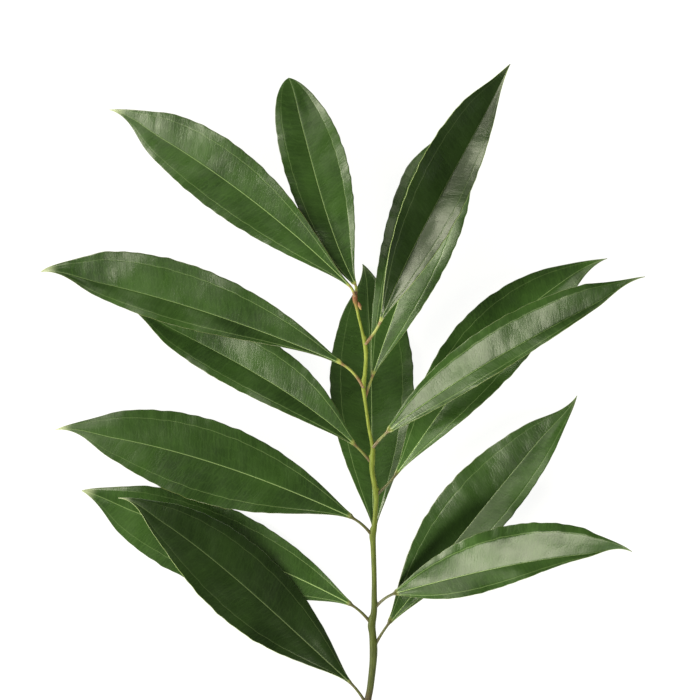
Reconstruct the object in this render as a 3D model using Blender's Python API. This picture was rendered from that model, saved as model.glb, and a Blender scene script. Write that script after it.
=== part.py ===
"""A cut cocculus branch lying on a table: a zigzag stem, its end bud and fourteen leathery leaves.

Every length below is in millimetres, measured on the branch as it lies, seen from above.
x runs to the right and y along the branch from its cut end. z is the height over the table.
MM turns a length into Blender's metres, and BRANCH_MIDDLE moves the branch over the origin.
"""

import math

import bmesh
import bpy
import numpy as np

MM = 0.001
BRANCH_MIDDLE = (-9.8, 141.1)

# Stem: where its line turns, and its radius there. The thick places are where leaves grow.
# It rests on its cut end and rises from there to its tip, steeply at first.
STEM = (
    (0.2, 0.0, 1.55),
    (0.6, 6.5, 1.62),
    (0.9, 10.3, 1.48),
    (1.8, 15.1, 1.46),
    (2.9, 24.9, 1.56),
    (3.2, 31.4, 1.72),
    (2.8, 38.0, 1.56),
    (2.4, 42.0, 1.70),
    (3.4, 47.9, 1.36),
    (3.5, 54.6, 1.20),
    (3.5, 61.1, 1.10),
    (3.3, 68.8, 1.12),
    (3.0, 76.8, 1.22),
    (2.8, 80.4, 1.46),
    (3.4, 83.7, 1.25),
    (3.9, 88.6, 1.08),
    (4.3, 95.2, 1.10),
    (4.2, 98.5, 1.25),
    (3.7, 101.9, 1.18),
    (2.6, 108.4, 1.15),
    (2.6, 112.5, 1.25),
    (2.9, 117.2, 1.05),
    (2.4, 120.5, 0.80),
    (1.1, 127.1, 0.72),
    (0.2, 133.7, 0.72),
    (-0.7, 140.2, 0.80),
    (-1.1, 144.5, 1.00),
    (-0.5, 150.1, 0.86),
    (-0.1, 156.6, 0.82),
    (-0.3, 161.0, 0.95),
    (-1.8, 168.4, 0.66),
    (-3.0, 173.3, 0.62),
    (-4.1, 178.3, 0.68),
    (-4.7, 181.0, 1.02),
    (-4.8, 183.0, 1.06),
    (-4.8, 184.2, 0.80),
)
STEM_LENGTH = STEM[-1][1]
STEM_FOOT_HEIGHT = 1.40
STEM_LIFT = 16.0
STEM_CURVE = 0.75
STEM_SIDES = 10
STEM_STEP = 1.7

# Small side buds raised on the stem, in the angle of each leaf stalk: height up the branch, and side
SIDE_BUDS = (
    (9.3, "left"),
    (34.6, "right"),
    (45.0, "left"),
    (51.2, "right"),
    (83.2, "left"),
    (100.4, "right"),
    (114.4, "left"),
    (146.6, "left"),
    (165.2, "right"),
)
SIDE_BUD_HEIGHT = 0.45
SIDE_BUD_LENGTH = 1.5

END_BUD_CENTRE = (-2.35, 178.7, 17.0)
END_BUD_LENGTH = 3.6
END_BUD_RADIUS = 0.70
END_BUD_LEAN = 160.0
END_BUD_TAPER = 0.45
END_BUD_SIDES = 10
END_BUD_RINGS = 8

# Leaf blades. The foot of a stalk, where it meets the stem, is thicker than its upper end.
BLADE_THICKNESS = 0.66
RIB_THICKNESS = 1.0
STALK_RADIUS = 0.60
STALK_FOOT_RADIUS = 0.74
TIP_RADIUS = 0.42
BLADE_STEPS = 20
STALK_STEPS = 5
# How much closer together a blade's rings lie at its ends than if they were even: 0 is even
CROWDING = 0.5
# A stalk heads for its blade from this share of its length before the base.
STALK_BEND = 0.45
# A section is round while it is as narrow as the stalk, its points fanned this many degrees either
# way, and it is a thin blade once it is wider by this many times the stalk's radius.
ROUND_FAN = 75.0
BLADE_FROM = 3.0
# Across a blade from its left edge to its right one: 0 is the midrib, and 0.74 the side vein
ACROSS = (-1.0, -0.74, -0.36, 0.0, 0.36, 0.74, 1.0)
SIDE_VEIN = 0.74
# A margin's waves: their height, how many there are from base to tip, and how far along its waves
# each leaf starts after the one before, in radians.
WAVE_HEIGHT = 0.7
WAVES = 3.5
WAVE_SHIFT = 1.9
# A blade ends in a narrow tail, which starts here along the midrib. At its base it is as wide as it
# would be a small cut further up, and that widening fades out along the midrib.
TAIL_FROM = 0.8
BASE_CUT = 0.018
BASE_FADE = 0.03
# The swing of a tail is this many times x^2 (1-x), whose own peak is 4/27.
SWING_PEAK = 27 / 4

# Each leaf: the point where its stalk leaves the stem, and four points along the midrib, at its
# base, at each third and at its tip. Then each half's greatest width seen from above, where along
# the midrib it lies, how pointed the half is, how steeply it rises from the midrib at the base and
# at the tip, in degrees, and how far its edge turns up from that beyond the side vein. Down is negative.
# The tail has the share of the width that is missing near the tip, and how far it swings to the right.
LEAVES = {
    "leaf_01": dict(
        stalk=(-1.88, 8.1, 3.0),
        midrib=((-7.0, 17.3, 4.4), (-37.8, 45.9, 10.6), (-72.9, 76.1, 15.5), (-106.0, 96.6, 12.4)),
        left=(16.2, 0.47, 3.3, 16, 13, 3),
        right=(16.4, 0.50, 2.4, -14, -14, -18),
        tail=(0.45, 1.0),
    ),
    "leaf_02": dict(
        stalk=(5.8, 33.3, 5.6),
        midrib=((10.4, 43.4, 5.8), (37.1, 75.9, 1.7), (63.5, 108.2, 1.6), (90.7, 140.4, 1.3)),
        left=(18.2, 0.46, 2.3, 28, 29, 6),
        right=(11.7, 0.54, 2.0, 30, 9, 2),
        tail=(0.4, 0.8),
    ),
    "leaf_03": dict(
        stalk=(0.0, 43.6, 6.5),
        midrib=((-7.0, 51.0, 6.2), (-45.0, 69.0, 2.5), (-84.0, 84.5, 0.3), (-122.3, 99.5, 1.3)),
        left=(18.7, 0.53, 2.3, -3, -4, -7),
        right=(16.4, 0.54, 1.8, -4, 3, 14),
        tail=(0.35, 0.6),
    ),
    "leaf_04": dict(
        stalk=(5.85, 50.25, 7.5),
        midrib=((12.8, 55.8, 9.0), (46.5, 64.6, 14.1), (80.5, 71.0, 14.0), (114.0, 73.5, 8.4)),
        left=(17.1, 0.50, 1.9, 14, 36, -30),
        right=(9.0, 0.32, 3.3, 21, 24, -13),
        tail=(0.6, -1.5),
    ),
    "leaf_05": dict(
        stalk=(0.8, 81.5, 10.2),
        midrib=((-6.6, 88.4, 11.2), (-49.0, 106.0, 13.7), (-91.0, 118.8, 14.8), (-133.1, 125.8, 9.6)),
        left=(17.7, 0.48, 2.8, 10, 11, -2),
        right=(17.5, 0.51, 1.9, -9, -5, -2),
        tail=(0.5, 1.0),
    ),
    "leaf_06": dict(
        stalk=(3.2, 78.6, 7.5),
        midrib=((3.4, 83.4, 7.5), (2.4, 121.5, 3.0), (1.9, 160.0, -1.1), (-1.5, 196.9, 1.6)),
        left=(17.8, 0.54, 2.4, 7, 6, -4),
        right=(18.2, 0.56, 1.9, 4, 2, 15),
        tail=(0.4, 0.6),
    ),
    "leaf_07": dict(
        stalk=(6.25, 99.1, 11.4),
        midrib=((13.1, 107.1, 11.2), (38.6, 143.0, 6.9), (67.0, 175.6, 0.3), (103.6, 199.3, 1.8)),
        left=(16.6, 0.49, 2.3, 10, 12, -8),
        right=(14.9, 0.52, 2.6, 26, 24, 0),
        tail=(0.3, -0.6),
    ),
    "leaf_08": dict(
        stalk=(0.45, 112.6, 12.3),
        midrib=((-5.6, 120.1, 12.4), (-36.0, 143.0, 8.9), (-68.0, 161.2, 1.7), (-101.0, 178.4, 0.6)),
        left=(10.2, 0.54, 1.8, 24, 28, -15),
        right=(15.2, 0.46, 2.3, 17, 21, -13),
        tail=(0.3, 0.4),
    ),
    "leaf_09": dict(
        stalk=(4.3, 119.35, 13.2),
        midrib=((9.9, 125.6, 14.6), (45.0, 150.3, 17.7), (82.0, 171.3, 16.1), (119.5, 191.4, 10.9)),
        left=(13.8, 0.51, 1.7, 18, 35, -28),
        right=(6.0, 0.36, 2.3, 28, 35, -2),
        tail=(0.75, -1.2),
    ),
    "leaf_10": dict(
        stalk=(1.1, 140.6, 13.5),
        midrib=((3.1, 150.1, 13.2), (14.9, 184.0, 8.6), (26.9, 219.0, 3.5), (37.8, 252.5, 0.8)),
        left=(16.2, 0.68, 1.3, 4, -1, -13),
        right=(15.7, 0.64, 1.7, 20, 25, 1),
        tail=(0.3, 0.0),
    ),
    "leaf_11": dict(
        stalk=(-3.05, 145.1, 15.2),
        midrib=((-11.6, 154.6, 15.8), (-54.0, 171.2, 15.9), (-97.0, 184.6, 13.5), (-139.3, 193.5, 11.3)),
        left=(9.5, 0.56, 3.2, 24, 18, -16),
        right=(17.5, 0.56, 1.7, 8, 22, 4),
        tail=(0.5, 1.1),
    ),
    "leaf_12": dict(
        stalk=(1.2, 163.6, 16.3),
        midrib=((6.4, 172.9, 17.4), (23.4, 210.1, 20.7), (42.7, 246.2, 15.2), (61.7, 282.5, 12.7)),
        left=(14.4, 0.56, 2.0, 41, 30, -1),
        right=(11.0, 0.44, 2.6, 23, 30, 2),
        tail=(0.35, 0.0),
    ),
    "leaf_13": dict(
        stalk=(-5.5, 184.8, 17.9),
        midrib=((-7.4, 187.8, 18.6), (-37.8, 215.3, 20.5), (-72.7, 241.2, 18.7), (-109.9, 262.9, 11.6)),
        left=(13.7, 0.53, 2.3, -6, -6, -7),
        right=(14.8, 0.60, 2.4, 37, 23, -4),
        tail=(0.55, 1.2),
    ),
    "leaf_14": dict(
        stalk=(-4.3, 185.1, 16.6),
        midrib=((-4.9, 188.6, 16.2), (-16.2, 216.0, 18.9), (-24.9, 246.3, 18.6), (-33.2, 276.6, 10.5)),
        left=(12.2, 0.62, 1.35, 15, 8, -13),
        right=(14.9, 0.58, 1.9, 15, -3, 18),
        tail=(0.0, 0.4),
    ),
}

# Finish: colours as linear red, green and blue, and the angle under which faces look smooth
LEAF_GREEN = (0.035, 0.085, 0.028)
STEM_GREEN = (0.30, 0.38, 0.08)
BUD_BROWN = (0.36, 0.20, 0.09)
LEAF_ROUGHNESS = 0.32
STEM_ROUGHNESS = 0.5
SMOOTH_UNDER = 50.0


def clear_scene():
    for item in list(bpy.data.objects):
        bpy.data.objects.remove(item, do_unlink=True)


def plain_material(name, colour, roughness):
    material = bpy.data.materials.new(name)
    material.use_nodes = True
    shader = material.node_tree.nodes["Principled BSDF"]
    shader.inputs["Base Color"].default_value = (*colour, 1.0)
    shader.inputs["Roughness"].default_value = roughness
    shader.inputs["Metallic"].default_value = 0.0
    return material


def unit(vectors):
    return vectors / np.linalg.norm(vectors, axis=-1, keepdims=True)


def cubic_through(points, t):
    """The cubic that passes through four points at t = 0, 1/3, 2/3 and 1 (Lagrange's form)."""
    places = (0.0, 1 / 3, 2 / 3, 1.0)
    total = 0.0
    for i, point in enumerate(points):
        weight = np.ones_like(t)
        for j, place in enumerate(places):
            if j != i:
                weight = weight * (t - place) / (places[i] - place)
        total = total + weight[:, None] * np.asarray(point)
    return total


def smooth_line(points, spacing):
    """A Catmull-Rom line through the points, with about this spacing."""
    points = np.asarray(points, float)
    ends = np.vstack([2 * points[0] - points[1], points, 2 * points[-1] - points[-2]])
    line = []
    for a, b, c, d in zip(ends, ends[1:], ends[2:], ends[3:]):
        steps = max(1, round(np.linalg.norm(c[:2] - b[:2]) / spacing))
        t = (np.arange(steps) / steps)[:, None]
        line.append(
            0.5 * (2 * b + (c - a) * t + (2 * a - 5 * b + 4 * c - d) * t**2 + (3 * b - a - 3 * c + d) * t**3)
        )
    return np.vstack([*line, points[-1:]])


def frames_along(line):
    """At each point of a line, the level direction to its right and the one square to both."""
    along = unit(np.gradient(line, axis=0))
    right = unit(np.cross(along, (0.0, 0.0, 1.0)))
    return right, np.cross(right, along)


def half_width(t, widest, place, pointed, tail_depth):
    """Half a blade's width at t: (b/p)^(pk) ((1-t)/(1-p))^((1-p)k), which is 1 at t = p, with b as
    t + c exp(-t/f), where c is the cut at the base and f how far it counts. It is drawn in towards
    the tip by the tail's depth times 3x^2 - 2x^3, with x from 0 to 1 along the tail."""
    t = np.clip(t, 0.0, 1 - 1e-4)
    x = np.clip((t - TAIL_FROM) / (1 - TAIL_FROM), 0.0, 1.0)
    rise = ((t + BASE_CUT * np.exp(-t / BASE_FADE)) / place) ** (place * pointed)
    full = widest * rise * ((1 - t) / (1 - place)) ** ((1 - place) * pointed)
    return full * (1 - tail_depth * x * x * (3 - 2 * x))


def tail_swing(t, swing):
    """How far the midrib bends to the right in the tail: swing 27/4 x^2 (1-x), which is at most swing."""
    x = np.clip((t - TAIL_FROM) / (1 - TAIL_FROM), 0.0, 1.0)
    return swing * SWING_PEAK * x * x * (1 - x)


def ring_mesh(name, rings, sides):
    """A closed tube of triangles over rings of points. The first half of each ring is its upper
    face and the second half its lower one, and both faces are split along the same diagonals."""
    count = 2 * sides
    mesh = bmesh.new()
    grid = [[mesh.verts.new(np.asarray(point) * MM) for point in ring] for ring in rings]
    for here, ahead in zip(grid, grid[1:]):
        for k in range(count):
            n = (k + 1) % count
            if sides <= k < count - 1:
                mesh.faces.new((here[k], here[n], ahead[k]))
                mesh.faces.new((here[n], ahead[n], ahead[k]))
            else:
                mesh.faces.new((here[k], here[n], ahead[n]))
                mesh.faces.new((here[k], ahead[n], ahead[k]))
    for k in range(sides - 1):
        low, lower = count - 1 - k, count - 2 - k
        first, last = grid[0], grid[-1]
        mesh.faces.new((first[k], first[low], first[lower]))
        mesh.faces.new((first[k], first[lower], first[k + 1]))
        mesh.faces.new((last[k], last[lower], last[low]))
        mesh.faces.new((last[k], last[k + 1], last[lower]))
    data = bpy.data.meshes.new(name)
    mesh.to_mesh(data)
    mesh.free()
    return data


def add_part(data, material):
    data.materials.append(material)
    data.shade_smooth()
    data.set_sharp_from_angle(angle=math.radians(SMOOTH_UNDER))
    part = bpy.data.objects.new(data.name, data)
    bpy.context.scene.collection.objects.link(part)
    return part


def over_origin(points):
    """Moves the branch's middle over the origin, and lifts what would sink into the table, so that
    it is pressed flat there. A point and its partner on the other face rise by the same amount."""
    moved = points - np.array((*BRANCH_MIDDLE, 0.0))
    lowest = np.minimum(moved[..., 2], moved[:, ::-1, 2])
    moved[..., 2] -= np.minimum(lowest, 0.0)
    return moved


def leaf_line(leaf):
    """The leaf's middle line: its stalk as a curve that flows into the midrib, then the midrib."""
    even = np.linspace(0, 1, BLADE_STEPS + 1)
    t = (1 - CROWDING) * even + CROWDING * (1 - np.cos(math.pi * even)) / 2
    midrib = cubic_through(leaf["midrib"], t)
    midrib = midrib + frames_along(midrib)[0] * tail_swing(t, leaf["tail"][1])[:, None]
    start, base = np.asarray(leaf["stalk"]), midrib[0]
    bend = base - unit(midrib[1] - base) * STALK_BEND * np.linalg.norm(base - start)
    u = (np.arange(STALK_STEPS) / STALK_STEPS)[:, None]
    stalk = (1 - u) ** 2 * start + 2 * u * (1 - u) * bend + u**2 * base
    return np.vstack([stalk, midrib]), np.concatenate([np.zeros(STALK_STEPS), t]), u[:, 0]


def leaf_rings(leaf, number):
    line, t, u = leaf_line(leaf)
    right, up = frames_along(line)
    s = np.array(ACROSS)[None, :]
    is_stalk = np.arange(len(t)) < STALK_STEPS
    stalk_radius = np.full(len(t), STALK_RADIUS)
    stalk_radius[:STALK_STEPS] += (STALK_FOOT_RADIUS - STALK_RADIUS) * (1 - u) ** 2
    centre_radius = np.where(t > 0.5, STALK_RADIUS + (TIP_RADIUS - STALK_RADIUS) * (2 * t - 1), stalk_radius)

    width = np.zeros((len(t), len(ACROSS)))
    rise = np.zeros_like(width)
    for side, sign in (("left", -1), ("right", 1)):
        widest, place, pointed, base_rise, tip_rise, edge_turn = leaf[side]
        reach = np.where(is_stalk, 0.0, half_width(t, widest, place, pointed, leaf["tail"][0]))
        mine = (s * sign > 0)[0]
        width[:, mine] = np.hypot(reach, centre_radius)[:, None]
        phase = WAVE_SHIFT * number + sign
        wave = WAVE_HEIGHT * np.sin(2 * math.pi * WAVES * t + phase) * np.sqrt(reach / widest)
        rise_angle = base_rise + (tip_rise - base_rise) * t
        slope = np.tan(np.radians(rise_angle))[:, None] * np.abs(s)
        edge = math.tan(math.radians(edge_turn)) * np.maximum(np.abs(s) - SIDE_VEIN, 0.0)
        height = reach[:, None] * (slope + edge) + wave[:, None] * s**2
        rise[:, mine] = height[:, mine]
    x, y = s * width, rise

    tilt_x = np.gradient(x, axis=1)
    tilt_y = np.gradient(y, axis=1)
    length = np.hypot(tilt_x, tilt_y) + 1e-9
    normal_x, normal_y = -tilt_y / length, tilt_x / length
    half = np.full_like(x, BLADE_THICKNESS / 2)
    half[:, len(ACROSS) // 2] = RIB_THICKNESS / 2

    turn = np.radians(ROUND_FAN) * s
    round_x = np.sin(turn) * width
    round_y = np.cos(turn) * centre_radius[:, None]
    full = np.abs(width).max(axis=1)
    blade = np.clip((full / centre_radius - 1) / BLADE_FROM, 0.0, 1.0)[:, None]
    blade = np.where(is_stalk[:, None], 0.0, blade * blade * (3 - 2 * blade))

    def face(sign):
        across = blade * (x + sign * normal_x * half) + (1 - blade) * round_x
        height = blade * (y + sign * normal_y * half) + (1 - blade) * sign * round_y
        return line[:, None] + across[..., None] * right[:, None] + height[..., None] * up[:, None]

    return np.concatenate([face(1), face(-1)[:, ::-1]], axis=1)


def stem_height(y):
    return STEM_FOOT_HEIGHT + STEM_LIFT * (np.clip(y, 0, None) / STEM_LENGTH) ** STEM_CURVE


def stem_rings():
    line = smooth_line(STEM, STEM_STEP)
    radius = line[:, 2].copy()
    line[:, 2] = stem_height(line[:, 1])
    right, up = frames_along(line)
    angle = math.pi - (np.arange(STEM_SIDES) + 0.5) * 2 * math.pi / STEM_SIDES
    reach = np.repeat(radius[:, None], STEM_SIDES, axis=1)
    for place, side in SIDE_BUDS:
        facing = np.cos(angle) * (1 if side == "right" else -1)
        along = np.exp(-(((line[:, 1] - place) / (SIDE_BUD_LENGTH / 2)) ** 2))
        reach += SIDE_BUD_HEIGHT * along[:, None] * np.clip(facing, 0, None)[None, :] ** 3
    x, y = reach * np.cos(angle), reach * np.sin(angle)
    return line[:, None] + x[..., None] * right[:, None] + y[..., None] * up[:, None]


def end_bud():
    """A bud like a grain of rice, drawn out to a point at the end that hangs down."""
    mesh = bmesh.new()
    bmesh.ops.create_uvsphere(mesh, u_segments=END_BUD_SIDES, v_segments=END_BUD_RINGS, radius=1.0)
    lean = math.radians(END_BUD_LEAN)
    middle = np.array(END_BUD_CENTRE) - np.array((*BRANCH_MIDDLE, 0.0))
    for vertex in mesh.verts:
        x, y, z = vertex.co
        slim = 1.0 - END_BUD_TAPER * max(z, 0.0)
        across = x * END_BUD_RADIUS * slim
        along = z * END_BUD_LENGTH / 2
        height = -y * END_BUD_RADIUS * slim
        vertex.co = (
            (middle[0] + across * math.cos(lean) + along * math.sin(lean)) * MM,
            (middle[1] - across * math.sin(lean) + along * math.cos(lean)) * MM,
            (middle[2] + height) * MM,
        )
    data = bpy.data.meshes.new("terminal_bud")
    mesh.to_mesh(data)
    mesh.free()
    return data


def main():
    clear_scene()
    stem = ring_mesh("stem", over_origin(stem_rings()), STEM_SIDES // 2)
    add_part(stem, plain_material("stem_skin", STEM_GREEN, STEM_ROUGHNESS))
    add_part(end_bud(), plain_material("bud_scales", BUD_BROWN, STEM_ROUGHNESS))
    for number, (name, leaf) in enumerate(LEAVES.items(), start=1):
        rings = over_origin(leaf_rings(leaf, number))
        data = ring_mesh(name, rings, len(ACROSS))
        add_part(data, plain_material(name + "_blade", LEAF_GREEN, LEAF_ROUGHNESS))


main()
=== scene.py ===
# %% [markdown]
# # A cut cocculus branch
#
# We dress a plain model of a branch until it looks alive. The plain model, called the frame here, holds
# one solid for each leaf, for the stem and for the bud. It fixes where everything is, so we load it
# first and never move it. Each finer piece that we make takes the place of one of its solids.

# %% Load the frame
import math

import bpy
import numpy as np
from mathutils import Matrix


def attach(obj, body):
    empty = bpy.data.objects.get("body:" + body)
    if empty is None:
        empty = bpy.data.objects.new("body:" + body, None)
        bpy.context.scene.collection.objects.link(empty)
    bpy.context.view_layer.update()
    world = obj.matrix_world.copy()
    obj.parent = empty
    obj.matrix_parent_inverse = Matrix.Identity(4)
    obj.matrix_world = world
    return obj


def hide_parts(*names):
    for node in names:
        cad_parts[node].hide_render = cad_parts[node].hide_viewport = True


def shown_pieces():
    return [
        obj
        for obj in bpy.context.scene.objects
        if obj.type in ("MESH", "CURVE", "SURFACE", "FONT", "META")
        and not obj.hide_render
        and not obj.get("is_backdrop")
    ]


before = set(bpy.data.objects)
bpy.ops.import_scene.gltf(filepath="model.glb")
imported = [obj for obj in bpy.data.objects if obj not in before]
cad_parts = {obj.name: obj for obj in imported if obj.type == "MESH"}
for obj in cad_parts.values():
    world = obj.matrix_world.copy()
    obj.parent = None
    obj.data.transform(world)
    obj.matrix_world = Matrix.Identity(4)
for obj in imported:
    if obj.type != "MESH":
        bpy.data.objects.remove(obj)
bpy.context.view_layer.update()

# %% [markdown]
# ## Units
#
# A leaf is easiest to think of in millimetres, seen from above as it lies: x to the right, y along the
# branch from its cut end, z up from the table. Blender counts in metres from the middle of the branch,
# so every point is moved and scaled once, as its mesh is made.

# %% From the branch's own millimetres to Blender's metres
MM = 0.001
DECIMETRE = 100.0
BRANCH_MIDDLE = np.array((-9.8, 141.1, 0.0))


def metres(points):
    """Points on the branch, in millimetres, as places in the scene: less the branch's middle, times MM."""
    return (np.asarray(points, float) - BRANCH_MIDDLE) * MM


print("the cut end is at", metres((0, 0, 0)).round(4).tolist())

# %% [markdown]
# ## One way to make a surface
#
# The stem, the stalks and the leaves are all long things with a changing section. So one function is
# enough for their meshes: it takes a grid of points, one ring after another along the piece, and joins
# each ring to the next with quads. The two ends are closed with a fan round their middle point.
# The whole grid is one array, so no loop runs over its points.

# %% A closed skin over a grid of rings


def skin(name, rings, face_kind=None):
    """A tube over rings, an array (rings, points, 3) in metres. Quad (i, k) joins the points k and k + 1
    of the rings i and i + 1. face_kind gives a material number for each k."""
    count, around = rings.shape[:2]
    i, k = np.meshgrid(np.arange(count - 1), np.arange(around), indexing="ij")
    ahead = (k + 1) % around
    quads = np.stack([i * around + k, i * around + ahead, (i + 1) * around + ahead, (i + 1) * around + k], -1)
    first, last = count * around, count * around + 1
    k = np.arange(around)
    ahead = (k + 1) % around
    start = np.stack([ahead, k, np.full(around, first)], -1)
    end = np.stack([(count - 1) * around + k, (count - 1) * around + ahead, np.full(around, last)], -1)
    points = np.vstack([rings.reshape(-1, 3), rings[0].mean(0), rings[-1].mean(0)])

    mesh = bpy.data.meshes.new(name)
    mesh.from_pydata(points.tolist(), [], quads.reshape(-1, 4).tolist() + start.tolist() + end.tolist())
    if face_kind is not None:
        kinds = np.concatenate([np.tile(face_kind, count - 1), face_kind, face_kind])
        mesh.polygons.foreach_set("material_index", kinds.astype(np.int32))
    mesh.shade_smooth()
    mesh.validate()
    return mesh


def give_values(mesh, name, values, grid_shape):
    """Stores three numbers at each point of the grid, for a material to read. An end's middle point
    takes the mean of its ring."""
    values = np.broadcast_to(values, (*grid_shape, 3))
    full = np.vstack([values.reshape(-1, 3), values[0].mean(0), values[-1].mean(0)])
    stored = mesh.attributes.new(name, "FLOAT_VECTOR", "POINT")
    stored.data.foreach_set("vector", full.astype(np.float32).ravel())


def give_flat_map(mesh, along, across, grid_shape):
    """A UV map that unrolls the piece: u runs along it and v across it, both in decimetres."""
    flat = np.stack([np.broadcast_to(along, grid_shape), np.broadcast_to(across, grid_shape)], -1)
    full = np.vstack([flat.reshape(-1, 2), flat[0].mean(0), flat[-1].mean(0)]) / DECIMETRE
    corner = np.empty(len(mesh.loops), np.int32)
    mesh.loops.foreach_get("vertex_index", corner)
    mesh.uv_layers.new(name="flat").data.foreach_set("uv", full[corner].astype(np.float32).ravel())


def unit(vectors):
    """Each vector divided by its length."""
    return vectors / np.linalg.norm(vectors, axis=-1, keepdims=True)


def frames_along(line):
    """At each point of a line, the level direction to its right, and the one square to both."""
    along = unit(np.gradient(line, axis=0))
    right = unit(np.cross(along, (0.0, 0.0, 1.0)))
    return right, np.cross(right, along)


def smooth_step(x):
    """0 below 0, 1 above 1, and 3x^2 - 2x^3 between."""
    x = np.clip(x, 0.0, 1.0)
    return x * x * (3 - 2 * x)


print("helpers for meshes are ready")

# %% [markdown]
# ## Materials: a few small helpers
#
# Colours are easiest to pick as hex values, but light adds up in linear numbers, so one function turns
# the first into the second. Another adds a node to a material: what it is, how it is set and what goes
# into it. With these two, a material reads like a list. A third lays one colour over another, as a
# painter would, because most of what follows is a green with finer colours on top.

# %% Colours, nodes and paint


def linear(hex_colour):
    """An sRGB hex colour as linear red, green, blue and alpha: c / 12.92 for the darkest, and otherwise
    ((c + 0.055) / 1.055) to the power 2.4."""
    parts = np.array([int(hex_colour[i : i + 2], 16) / 255 for i in (1, 3, 5)])
    bright = ((parts + 0.055) / 1.055) ** 2.4
    return (*np.where(parts <= 0.04045, parts / 12.92, bright), 1.0)


def add(tree, kind, inputs=None, stops=(), **settings):
    """Adds a node. settings are its properties. Each of inputs is a value to set or a socket to link.
    A colour ramp also has stops, each a place from 0 to 1 and a hex colour."""
    made = tree.nodes.new(kind)
    for name, value in settings.items():
        setattr(made, name, value)
    for name, value in (inputs or {}).items():
        if isinstance(value, bpy.types.NodeSocket):
            tree.links.new(value, made.inputs[name])
        else:
            made.inputs[name].default_value = value
    if stops:
        elements = made.color_ramp.elements
        elements.remove(elements[1])
        elements[0].position, elements[0].color = stops[0][0], linear(stops[0][1])
        for position, hex_colour in stops[1:]:
            elements.new(position).color = linear(hex_colour)
    return made


def paint(tree, under, over, *amounts):
    """Lays one colour over another, as strongly as the product of the amounts, each from 0 to 1."""
    strength = amounts[0]
    for amount in amounts[1:]:
        strength = add(tree, "ShaderNodeMath", {0: strength, 1: amount}, operation="MULTIPLY").outputs[0]
    return add(tree, "ShaderNodeMix", {0: strength, 6: under, 7: over}, data_type="RGBA").outputs[2]


def new_material(name):
    """An empty material, its node tree and its Principled shader."""
    material = bpy.data.materials.new(name)
    material.use_nodes = True
    return material, material.node_tree, material.node_tree.nodes["Principled BSDF"]


print("leaf green is", np.round(linear("#33502a"), 3).tolist())

# %% [markdown]
# ## The line of the stem
#
# Every stalk starts in the stem, so the stem's line comes first: a point wherever it turns, with its
# radius there. It zigzags a little from leaf to leaf, and it is thickest where they grow. It lies on its
# cut end and rises from there, because the leaves that lean on the table hold it up.

# %% The line of the stem
STEM = (
    (0.2, 0.0, 1.55),
    (0.6, 6.5, 1.62),
    (0.9, 10.3, 1.48),
    (1.8, 15.1, 1.46),
    (2.9, 24.9, 1.56),
    (3.2, 31.4, 1.72),
    (2.8, 38.0, 1.56),
    (2.4, 42.0, 1.70),
    (3.4, 47.9, 1.36),
    (3.5, 54.6, 1.20),
    (3.5, 61.1, 1.10),
    (3.3, 68.8, 1.12),
    (3.0, 76.8, 1.22),
    (2.8, 80.4, 1.46),
    (3.4, 83.7, 1.25),
    (3.9, 88.6, 1.08),
    (4.3, 95.2, 1.10),
    (4.2, 98.5, 1.25),
    (3.7, 101.9, 1.18),
    (2.6, 108.4, 1.15),
    (2.6, 112.5, 1.25),
    (2.9, 117.2, 1.05),
    (2.4, 120.5, 0.80),
    (1.1, 127.1, 0.72),
    (0.2, 133.7, 0.72),
    (-0.7, 140.2, 0.80),
    (-1.1, 144.5, 1.00),
    (-0.5, 150.1, 0.86),
    (-0.1, 156.6, 0.82),
    (-0.3, 161.0, 0.95),
    (-1.8, 168.4, 0.66),
    (-3.0, 173.3, 0.62),
    (-4.1, 178.3, 0.68),
    (-4.7, 181.0, 1.02),
    (-4.8, 183.0, 1.06),
    (-4.8, 184.2, 0.80),
)
STEM_LENGTH = STEM[-1][1]
STEM_FOOT_HEIGHT = 1.40
STEM_LIFT = 16.0
STEM_CURVE = 0.75


def stem_height(y):
    """The stem's height over the table: its foot, plus the lift times (y / length)^curve."""
    return STEM_FOOT_HEIGHT + STEM_LIFT * (np.clip(y, 0, None) / STEM_LENGTH) ** STEM_CURVE


print("the stem rises to", round(float(stem_height(STEM_LENGTH)), 1), "mm")

# %% [markdown]
# ## What a leaf is
#
# A cocculus leaf is long, pointed at both ends and leathery. Three veins rise from its base: the midrib,
# and one side vein on each side that follows the margin at about three quarters of the way out. The two
# halves are nearly flat strips that meet at the midrib at an angle, as in an open book, and the narrow
# strip outside the side vein bends away again. That is why one leaf shows three or four bands, some
# dark and some shining. The margin waves a little.
#
# We could sculpt fourteen leaves, or take one and scale it. A formula does better: one surface with a
# few numbers for each leaf, so all are related and none are alike.

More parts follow.
